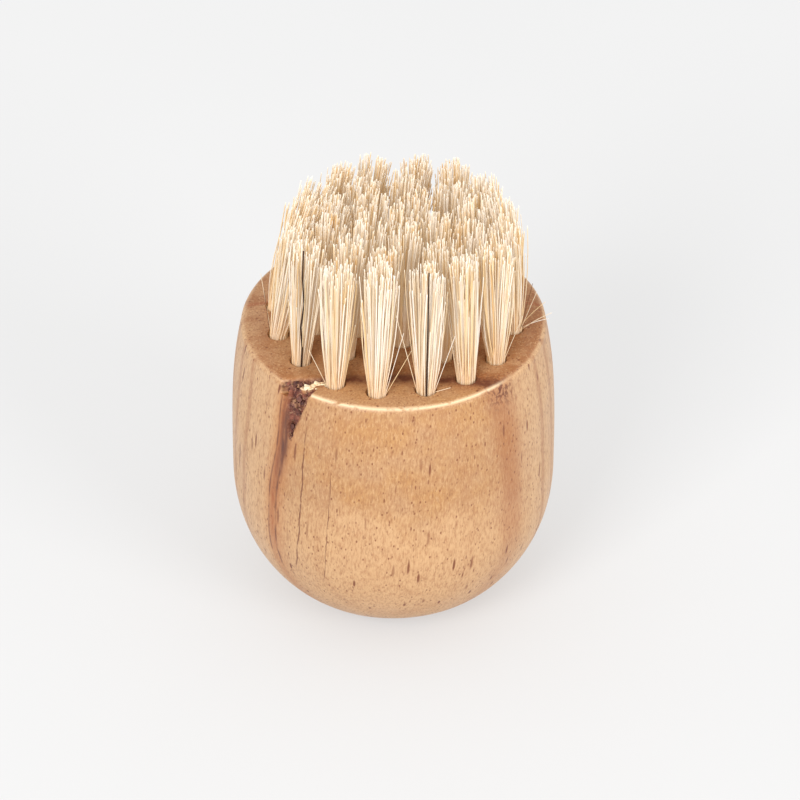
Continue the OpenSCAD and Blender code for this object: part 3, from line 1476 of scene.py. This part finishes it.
@dataclass(frozen=True)
class BristleTuft:
    """One tuft: a bundle of separate bristles folded under its anchor strip.

    The scatters and the raggedness are standard deviations in millimetres.
    """

    place: TuftPlace
    layout: Layout
    finish: bpy.types.Material
    root_radius: float = 1.4 * MM
    fan: float = 1.04
    fan_behind: float = 1.24
    dome: float = 1.5 * MM
    overshoot: float = 1.0 * MM
    strip_gap: float = 0.36 * MM
    fold_rise: float = 0.25 * MM
    strip_top: float = 3.0 * MM
    gather_front: float = 0.035
    gather_back: float = 0.09
    edge_gather: float = 1.7 * MM
    sway: Vector = Vector((1.25, 0.9)) * MM
    back_rise: float = 1.0 * MM
    lean_right: float = 0.25 * MM
    fan_zone: Plan = (-17 * MM, -8 * MM)
    gather_zone: Plan = (-12 * MM, 4 * MM)
    rise_zone: Plan = (-6 * MM, 18 * MM)
    edge_zone: Plan = (11 * MM, 18 * MM)
    lean_scatter: float = 0.2
    tip_scatter: float = 0.36
    bend_scatter: float = 0.18
    lock_scatter: float = 0.4
    raggedness: float = 2.2
    ragged_middle: float = 0.95
    short_share: float = 0.14
    dark_share: float = 0.07
    middling_share: float = 0.38
    flyer_reach: Plan = (0.95, 1.3)
    taper: float = 0.28
    dark_stray: float = 1.1
    pale_stray: float = 0.42
    bristles: int = 138
    flyers: int = 15
    locks: int = 8
    thin: float = 0.094 * MM
    thick: float = 0.14 * MM
    sides: int = 5
    stations: tuple[float, ...] = (-1.0, -0.75, 0.0, 0.16, 0.34, 0.54, 0.77, 1.0)

    def build(self) -> bpy.types.Object:
        """Build the bundle and put it in the frame.

        Returns:
            The finished piece.
        """
        rng = random.Random(self.place.name)
        strands = self._bundle(rng) + self._strays()
        template = self._template()
        bm = bmesh.new()
        for _ in strands:
            bm.from_mesh(template)
        per_strand = len(template.vertices)
        bpy.data.meshes.remove(template)
        tone = bm.verts.layers.float.new(TONE_LAYER)
        along = bm.verts.layers.float.new(ALONG_LAYER)
        for index, vert in enumerate(bm.verts):
            strand = strands[index // per_strand]
            station = self.stations[round(vert.co.z)]
            vert[tone] = strand.tone
            vert[along] = max(station, 0.0)
            vert.co = self._surface_point(strand, station, vert.co.x, vert.co.y)
        bundle = object_from_bmesh(bm, self.place.name.replace("tuft", "bristles"))
        dress(bundle.data, self.finish, 75)
        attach(bundle, BODY)
        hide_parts(self.place.name)
        return bundle

    def _template(self) -> bpy.types.Mesh:
        """Make one straight bristle of unit radius, with a ring at each whole height.

        Returns:
            The bristle's mesh.
        """
        bm = bmesh.new()
        bmesh.ops.create_circle(bm, cap_ends=True, segments=self.sides, radius=1.0)
        bmesh.ops.reverse_faces(bm, faces=bm.faces)
        end = bm.faces[:]
        for _ in self.stations[1:]:
            grown = bmesh.ops.extrude_face_region(bm, geom=end, use_keep_orig=len(bm.faces) == 1)
            verts = [g for g in grown["geom"] if isinstance(g, bmesh.types.BMVert)]
            bmesh.ops.translate(bm, verts=verts, vec=(0.0, 0.0, 1.0))
            end = [g for g in grown["geom"] if isinstance(g, bmesh.types.BMFace)]
        bmesh.ops.recalc_face_normals(bm, faces=bm.faces)
        mesh = bpy.data.meshes.new("bristle_template")
        bm.to_mesh(mesh)
        bm.free()
        return mesh

    def _surface_point(self, strand: Strand, station: float, x: float, y: float) -> Vector:
        """Place one point of the template on its own bristle.

        Args:
            strand: The bristle.
            station: How far along it the point is.
            x: The template point's X.
            y: The template point's Y.

        Returns:
            The point in the frame.
        """
        fold_z = self.place.root_z + self.fold_rise
        centre = strand.centre(station, fold_z, self.place.root_z + self.strip_top)
        radius = strand.radius * (1 - self.taper * max(station, 0.0))
        lean = (strand.tip - strand.root).normalized() if station > 0 else Vector((0, 0, 1))
        side = lean.cross(Vector((0, 1, 0))).normalized()
        ahead = lean.cross(side)
        return centre + (side * x + ahead * y) * radius

    def _bundle(self, rng: random.Random) -> list[Strand]:
        """Lay out the tuft's own bristles.

        Args:
            rng: The tuft's own random source.

        Returns:
            The bristles.
        """
        centre = self.place.centre
        behind = smooth_step(*self.gather_zone, centre.y)
        lean = scatter(rng, self.lean_scatter)
        lean -= centre * (self.gather_front + (self.gather_back - self.gather_front) * behind)
        lean += Vector((self.lean_right + self.sway.x * behind, self.sway.y * behind))
        edge = smooth_step(*self.edge_zone, abs(centre.x)) * behind
        lean.x -= math.copysign(self.edge_gather * edge, centre.x)
        locks = [self._lock(rng) for _ in range(self.locks)]
        strands = []
        for k in range(self.bristles):
            reach = self.root_radius * math.sqrt((k + 0.5) / self.bristles)
            angle = k * GOLDEN_ANGLE + rng.uniform(-0.2, 0.2)
            offset = Vector((math.cos(angle), math.sin(angle))) * reach
            if abs(offset.y) < self.strip_gap:
                offset.y = math.copysign(self.strip_gap, offset.y)
            strands.append(self._bristle(rng, offset, lean, locks))
        strands += [self._flyer(rng, lean) for _ in range(self.flyers)]
        return strands

    def _lock(self, rng: random.Random) -> Lock:
        """Pick one lock, a group of bristles that cling together towards their tips.

        Args:
            rng: The tuft's own random source.

        Returns:
            The lock.
        """
        angle, reach = rng.uniform(0, TAU), self.place.tip_radius * math.sqrt(rng.random())
        offset = Vector((math.cos(angle), math.sin(angle))) * reach
        return Lock(offset, rng.gauss(0, self.lock_scatter) * MM, rng.gauss(0, 0.08))

    def _bristle(
        self, rng: random.Random, offset: Vector, lean: Vector, locks: list[Lock]
    ) -> Strand:
        """Run one bristle from its place in the hole to its place in a lock.

        Args:
            rng: The tuft's own random source.
            offset: The root's place from the hole's centre.
            lean: How far the whole tuft leans over its height.
            locks: The tuft's locks.

        Returns:
            The bristle.
        """
        behind = smooth_step(*self.fan_zone, self.place.centre.y)
        fan = self.fan + (self.fan_behind - self.fan) * behind
        fan *= self.place.tip_radius / self.root_radius
        spread = offset * fan * rng.uniform(0.84, 1.08)
        lock = min(locks, key=lambda one: (one.offset - spread).length)
        spread = spread.lerp(lock.offset, rng.uniform(0.15, 0.5))
        spread += scatter(rng, self.tip_scatter)
        centre = self.place.centre
        tip = centre + spread + lean
        dome = self.dome * (spread.length / (fan * self.root_radius)) ** 2
        trim = self._trim(tip.y)
        height = trim - dome + lock.rise + self._raggedness(rng)
        trumpet = (spread - offset) * rng.uniform(-0.14, 0.14)
        bow = (trumpet + scatter(rng, self.bend_scatter)).to_3d()
        return Strand(
            Vector((centre.x + offset.x, centre.y + offset.y, self.layout.block_top)),
            Vector((tip.x, tip.y, min(height, trim + self.overshoot))),
            rng.uniform(self.thin, self.thick),
            min(max(self._tone(rng) + lock.shade, Tone.TAN.value), Tone.IVORY.value),
            bow,
        )

    def _trim(self, y: float) -> float:
        """Give the trimmed height at a place along Y, a little fuller towards the back."""
        return self.layout.trim_height(y) + self.back_rise * smooth_step(*self.rise_zone, y)

    def _flyer(self, rng: random.Random, lean: Vector) -> Strand:
        """Let one thin bristle stand away from the side of the tuft.

        Args:
            rng: The tuft's own random source.
            lean: How far the whole tuft leans over its height.

        Returns:
            The bristle.
        """
        angle = rng.uniform(0, TAU)
        aside = Vector((math.cos(angle), math.sin(angle)))
        centre, top = self.place.centre, self.layout.block_top
        part = rng.uniform(0.5, 1.0)
        spread = aside * self.place.tip_radius * rng.uniform(*self.flyer_reach) * (0.45 + 0.55 * part)
        tip = centre + spread + lean * part
        root = centre + aside * self.root_radius * 0.9
        rise = (self._trim(tip.y) - top) * part
        trumpet = aside * rng.uniform(-0.3, 0.6) * MM
        return Strand(
            Vector((root.x, root.y, top)),
            Vector((tip.x, tip.y, top + rise)),
            self.thin * rng.uniform(0.75, 1.0),
            rng.uniform(Tone.STRAW.value, Tone.IVORY.value),
            Vector((trumpet.x, trumpet.y, 0.0)),
        )

    def _raggedness(self, rng: random.Random) -> float:
        """Give how far a bristle's cut end is from the trim plane, mostly a little short.

        Args:
            rng: The tuft's own random source.

        Returns:
            The height above the trim plane.
        """
        error = self.ragged_middle - abs(rng.gauss(0, self.raggedness))
        if rng.random() < self.short_share:
            error -= rng.uniform(1.0, 5.0)
        return error * MM

    def _tone(self, rng: random.Random) -> float:
        """Pick a bristle's tone: mostly ivory to straw, seldom darker.

        Args:
            rng: The tuft's own random source.

        Returns:
            The place on the colour ramp.
        """
        draw = rng.random()
        if draw < self.dark_share:
            return rng.uniform(Tone.TAN.value, Tone.STRAW.value)
        if draw < self.middling_share:
            return rng.uniform(Tone.STRAW.value, Tone.CREAM.value)
        return rng.uniform(Tone.CREAM.value, Tone.IVORY.value)

    def _strays(self) -> list[Strand]:
        """Lay out the named flyaways that leave this tuft.

        Returns:
            The bristles.
        """
        top = Vector((0.0, 0.0, self.layout.block_top))
        strands = []
        for stray in FLYAWAYS:
            if stray.tuft != self.place.name:
                continue
            root = self.place.centre + Vector(stray.root) * MM
            tip = Vector(stray.tip) * MM + top
            bow = Vector((0.0, 0.0, 0.06)) * (tip.x - root.x)
            strands.append(
                Strand(
                    Vector((root.x, root.y, top.z)),
                    tip,
                    self.thick * (self.dark_stray if stray.tone is Tone.BLACK else self.pale_stray),
                    stray.tone.value,
                    bow if abs(tip.x - root.x) > 4 * MM else Vector(),
                    stray.wave,
                )
            )
        return strands


@dataclass(frozen=True)
class AnchorStrips:
    """The steel strips, which keep their CAD solids and get their finish here."""

    node: bpy.types.Object
    finish: bpy.types.Material

    def dress(self) -> bpy.types.Object:
        """Give the strips their finish.

        Returns:
            The CAD node's object.
        """
        self.node.data.materials.clear()
        self.node.data.materials.append(self.finish)
        return self.node


# --------------------------------------------------------------------------- studio


@dataclass(frozen=True)
class SoftLight:
    """One square area light: where it stands, its side and its power."""

    name: str
    position: tuple[float, float, float]
    side: float
    power: float


@dataclass(frozen=True)
class Studio:
    """Pale floor, even light and the camera."""

    layout: Layout
    floor_finish: bpy.types.Material
    floor_side: float = 6.0
    world_level: float = 0.9
    elevation: float = math.radians(36.4)
    distance: float = 0.9
    lens: float = 254.2
    sensor: float = 36.0
    near_clip: float = 0.01
    aim_right: float = 1.05 * MM
    aim_down: float = 13.1 * MM
    lights: tuple[SoftLight, ...] = (
        SoftLight("key", (-0.6, -1.1, 0.9), 0.6, 13.0),
        SoftLight("fill", (0.9, -0.9, 0.6), 0.6, 8.5),
    )

    def build(self) -> None:
        """Build the floor, the lights, the world and the camera."""
        self._floor()
        for light in self.lights:
            self._light(light)
        self._world()
        self._camera()
        bpy.context.scene.view_settings.view_transform = "Standard"

    def _floor(self) -> None:
        """Lay a wide sheet of pale paper under the foot."""
        bm = bmesh.new()
        bmesh.ops.create_grid(bm, x_segments=8, y_segments=8, size=self.floor_side / 2)
        floor = object_from_bmesh(bm, "studio_floor")
        floor.data.materials.append(self.floor_finish)

    def _light(self, light: SoftLight) -> None:
        """Hang one area light and aim it at the middle of the block.

        Args:
            light: The light's own values.
        """
        data = bpy.data.lights.new(light.name, "AREA")
        data.shape = "SQUARE"
        data.size = light.side
        data.energy = light.power
        lamp = bpy.data.objects.new(light.name, data)
        lamp.location = light.position
        aim = Vector((0.0, 0.0, self.layout.block_top / 2)) - lamp.location
        lamp.rotation_euler = aim.to_track_quat("-Z", "Y").to_euler()
        bpy.context.scene.collection.objects.link(lamp)

    def _world(self) -> None:
        """Fill the room with even white light."""
        world = bpy.data.worlds.new("studio_room")
        world.use_nodes = True
        sky = world.node_tree.nodes["Background"]
        sky.inputs["Color"].default_value = WHITE
        sky.inputs["Strength"].default_value = self.world_level
        bpy.context.scene.world = world

    def _camera(self) -> None:
        """Stand the camera in front, looking down at the flat top."""
        data = bpy.data.cameras.new("camera")
        data.lens = self.lens
        data.sensor_width = self.sensor
        data.clip_start = self.near_clip
        camera = bpy.data.objects.new("camera", data)
        back = Vector((0.0, -math.cos(self.elevation), math.sin(self.elevation)))
        up = Vector((0.0, math.sin(self.elevation), math.cos(self.elevation)))
        rim_centre = Vector((0.0, 0.0, self.layout.block_top))
        camera.location = rim_centre + back * self.distance
        aim = rim_centre + Vector((self.aim_right, 0.0, 0.0)) - up * self.aim_down
        camera.rotation_euler = (aim - camera.location).to_track_quat("-Z", "Y").to_euler()
        bpy.context.scene.collection.objects.link(camera)
        bpy.context.scene.camera = camera


def main() -> None:
    """Build the brush and its studio, and report each piece."""
    logging.basicConfig(level=logging.INFO, format="%(name)s: %(message)s")
    effects = SharedEffects.build()
    layout = Layout.from_frame(frame["nodes"])
    pocket = BarkPocket(layout.block_top)
    wood = WoodFinish(effects, top=layout.block_top / MM).build()
    block = TurnedBlock(layout, pocket, wood).build()
    debris = PocketDebris(layout, pocket, SplinterFinish(effects).build()).build()
    for piece in (block, debris):
        log.info("%s: %d faces", piece.name, len(piece.data.polygons))
    bristle = BristleFinish(effects).build()
    for place in layout.tufts:
        bundle = BristleTuft(place, layout, bristle).build()
        log.info("%s: %d faces", bundle.name, len(bundle.data.polygons))
    strips = AnchorStrips(frame["nodes"][Node.ANCHORS.value], SteelFinish(effects).build()).dress()
    log.info("%s: dressed", strips.name)
    Studio(layout, FloorFinish(effects).build()).build()


if __name__ == "__main__":
    main()
